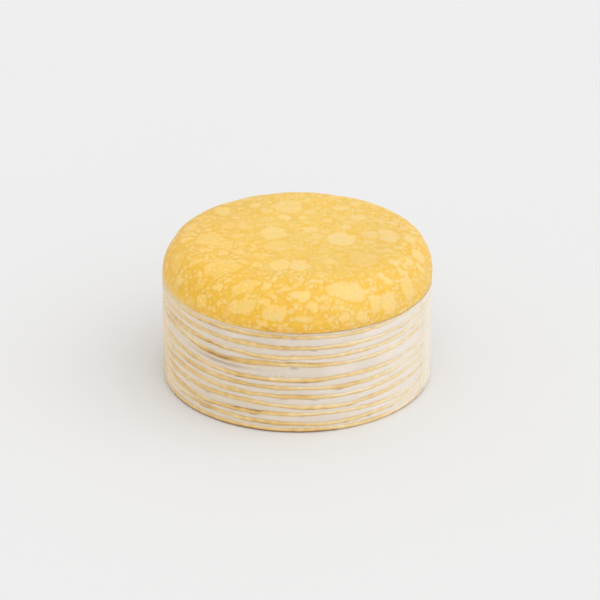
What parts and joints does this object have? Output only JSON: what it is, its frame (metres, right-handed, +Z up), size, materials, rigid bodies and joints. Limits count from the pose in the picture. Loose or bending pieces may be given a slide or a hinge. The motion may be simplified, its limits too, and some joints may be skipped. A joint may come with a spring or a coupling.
{
  "type": "crepe cake",
  "caption": "Round layered cake of thin crepes and whipped cream, with a domed golden top crepe and a clear film collar round its side.",
  "frame": {"origin": "middle of the foot, where the lowest crepe rests", "axes": "+Z up, front of the cake toward -Y, +X to the right seen from the front"},
  "size_m": [0.152, 0.152, 0.0848],
  "materials": {
    "crepe": "thin griddled crepe, tan cut edge with browner faces, soft matt",
    "cream": "whipped cream, off-white, soft satin, pressed smooth against the film",
    "golden_crepe": "golden yellow griddled face with pale round bubble marks, slightly moist satin",
    "film": "clear glossy food film, faintly hazy"
  },
  "bodies": {
    "root": {"crepe_01": "crepe", "crepe_02": "crepe", "crepe_03": "crepe", "crepe_04": "crepe", "crepe_05": "crepe", "crepe_06": "crepe", "crepe_07": "crepe", "crepe_08": "crepe", "crepe_09": "crepe", "crepe_10": "crepe", "crepe_11": "crepe", "cream_01": "cream", "cream_02": "cream", "cream_03": "cream", "cream_04": "cream", "cream_05": "cream", "cream_06": "cream", "cream_07": "cream", "cream_08": "cream", "cream_09": "cream", "cream_10": "cream", "cream_11": "cream", "crepe_top": "golden_crepe", "film_collar": "film"}
  },
  "joints": []
}
